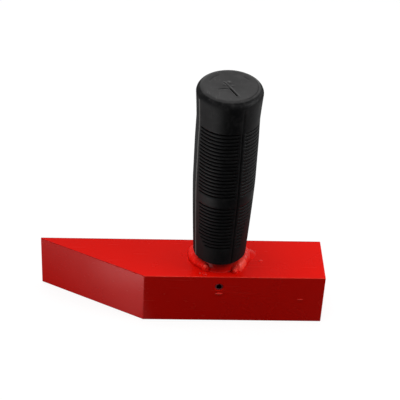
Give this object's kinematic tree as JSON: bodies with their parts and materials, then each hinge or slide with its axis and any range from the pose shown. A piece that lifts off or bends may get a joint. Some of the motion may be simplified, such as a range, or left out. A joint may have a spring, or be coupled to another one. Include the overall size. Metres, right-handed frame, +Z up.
{
  "type": "stonemason hammer",
  "caption": "Stonemason's hammer: solid square bar head with a one-sided bevelled blade, and a welded tube handle in a ribbed push-on grip.",
  "frame": {"origin": "the point of the head's lower face under the handle's axis", "axes": "+Z up along the handle, +X towards the square striking face, -X towards the blade, -Y towards the bevelled side with the pin hole"},
  "size_m": [0.197, 0.0432, 0.1826],
  "materials": {
    "red_paint": "gloss red spray paint",
    "dark_steel": "oiled spring steel",
    "black_grip": "satin moulded grip"
  },
  "bodies": {
    "root": {"head_bar": "red_paint", "handle_tube": "red_paint", "weld_bead_blade_side": "red_paint", "weld_bead_face_side": "red_paint", "cross_pin": "dark_steel", "grip": "black_grip"}
  },
  "joints": []
}
